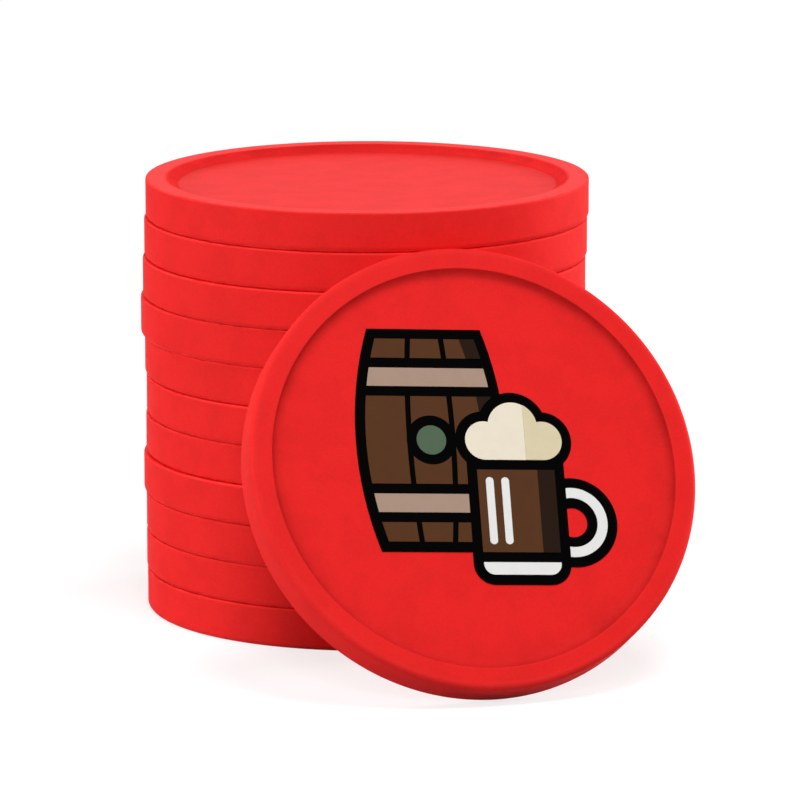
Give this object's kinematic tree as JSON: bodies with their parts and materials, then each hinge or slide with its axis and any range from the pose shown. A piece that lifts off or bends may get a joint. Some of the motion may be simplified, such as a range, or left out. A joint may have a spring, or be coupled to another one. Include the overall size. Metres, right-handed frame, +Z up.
{
  "type": "drink chip set",
  "caption": "Stack of round rimmed plastic drink chips with a printed chip leaning on its side; chips lift off to be handed over in exchange for drinks.",
  "frame": {"origin": "centre of the bottom chip's underside, on the surface that the set stands on", "axes": "+Z up along the stack, +Y away from the side that the printed chip leans on, +X to the right as seen by someone who faces the print"},
  "size_m": [0.0355, 0.0452, 0.0286],
  "materials": {
    "chip_red": "red moulded plastic with a fine satin skin",
    "ink_black": "black ink film, matte",
    "ink_brown": "brown ink film, matte",
    "ink_cream": "cream ink film, matte",
    "ink_light_grey": "light grey ink film, matte",
    "ink_green": "green ink film, matte",
    "ink_mauve": "mauve ink film, matte",
    "ink_dark_brown": "dark brown ink film, matte",
    "ink_tan": "tan ink film, matte"
  },
  "bodies": {
    "stack_chip_01": {"stack_chip_01": "chip_red"},
    "stack_chip_02": {"stack_chip_02": "chip_red"},
    "stack_chip_03": {"stack_chip_03": "chip_red"},
    "stack_chip_04": {"stack_chip_04": "chip_red"},
    "stack_chip_05": {"stack_chip_05": "chip_red"},
    "stack_chip_06": {"stack_chip_06": "chip_red"},
    "stack_chip_07": {"stack_chip_07": "chip_red"},
    "stack_chip_08": {"stack_chip_08": "chip_red"},
    "stack_chip_09": {"stack_chip_09": "chip_red"},
    "stack_chip_10": {"stack_chip_10": "chip_red"},
    "stack_chip_11": {"stack_chip_11": "chip_red"},
    "front_chip": {"front_chip": "chip_red", "print_key_line": "ink_black", "print_brown": "ink_brown", "print_cream": "ink_cream", "print_light_grey": "ink_light_grey", "print_green": "ink_green", "print_mauve": "ink_mauve", "print_dark_brown": "ink_dark_brown", "print_tan": "ink_tan"}
  },
  "joints": [
    {"name": "lift_02", "type": "slide", "parent": "stack_chip_01", "child": "stack_chip_02", "axis": [0, 0, 1], "range_m": [0, 0.015]},
    {"name": "lift_03", "type": "slide", "parent": "stack_chip_02", "child": "stack_chip_03", "axis": [0, 0, 1], "range_m": [0, 0.015]},
    {"name": "lift_04", "type": "slide", "parent": "stack_chip_03", "child": "stack_chip_04", "axis": [0, 0, 1], "range_m": [0, 0.015]},
    {"name": "lift_05", "type": "slide", "parent": "stack_chip_04", "child": "stack_chip_05", "axis": [0, 0, 1], "range_m": [0, 0.015]},
    {"name": "lift_06", "type": "slide", "parent": "stack_chip_05", "child": "stack_chip_06", "axis": [0, 0, 1], "range_m": [0, 0.015]},
    {"name": "lift_07", "type": "slide", "parent": "stack_chip_06", "child": "stack_chip_07", "axis": [0, 0, 1], "range_m": [0, 0.015]},
    {"name": "lift_08", "type": "slide", "parent": "stack_chip_07", "child": "stack_chip_08", "axis": [0, 0, 1], "range_m": [0, 0.015]},
    {"name": "lift_09", "type": "slide", "parent": "stack_chip_08", "child": "stack_chip_09", "axis": [0, 0, 1], "range_m": [0, 0.015]},
    {"name": "lift_10", "type": "slide", "parent": "stack_chip_09", "child": "stack_chip_10", "axis": [0, 0, 1], "range_m": [0, 0.015]},
    {"name": "lift_11", "type": "slide", "parent": "stack_chip_10", "child": "stack_chip_11", "axis": [0, 0, 1], "range_m": [0, 0.015]},
    {"name": "front_chip_pick_up", "type": "slide", "parent": "stack_chip_01", "child": "front_chip", "axis": [0.2496, -0.8426, 0.4772], "range_m": [0, 0.03]}
  ]
}
